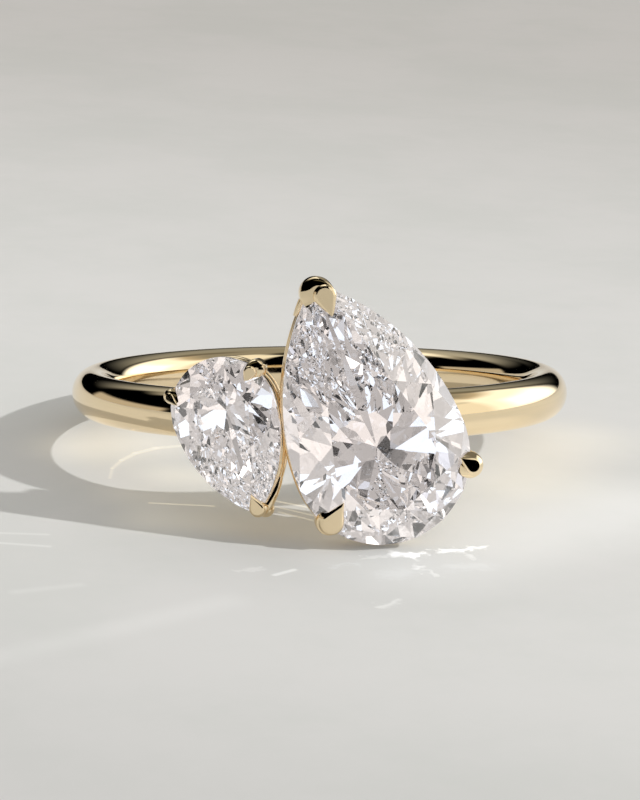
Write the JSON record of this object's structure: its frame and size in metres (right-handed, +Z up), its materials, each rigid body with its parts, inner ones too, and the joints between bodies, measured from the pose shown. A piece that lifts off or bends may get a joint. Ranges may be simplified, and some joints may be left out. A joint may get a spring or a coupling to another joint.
{
  "type": "toi et moi ring",
  "caption": "Rounded gold ring with two pear-cut colourless stones, a large and a small one, set side by side head to tail in wire baskets with pointed claws.",
  "frame": {"origin": "middle of the finger hole", "axes": "+Z up from the surface that the ring lies on, -Y towards the stones, +X towards the large stone's side"},
  "size_m": [0.0206, 0.0244, 0.0103],
  "materials": {
    "gold": "polished yellow gold",
    "stone": "polished facets, colourless diamond"
  },
  "bodies": {
    "root": {"gold": "gold", "large_pear": "stone", "small_pear": "stone"}
  },
  "joints": []
}
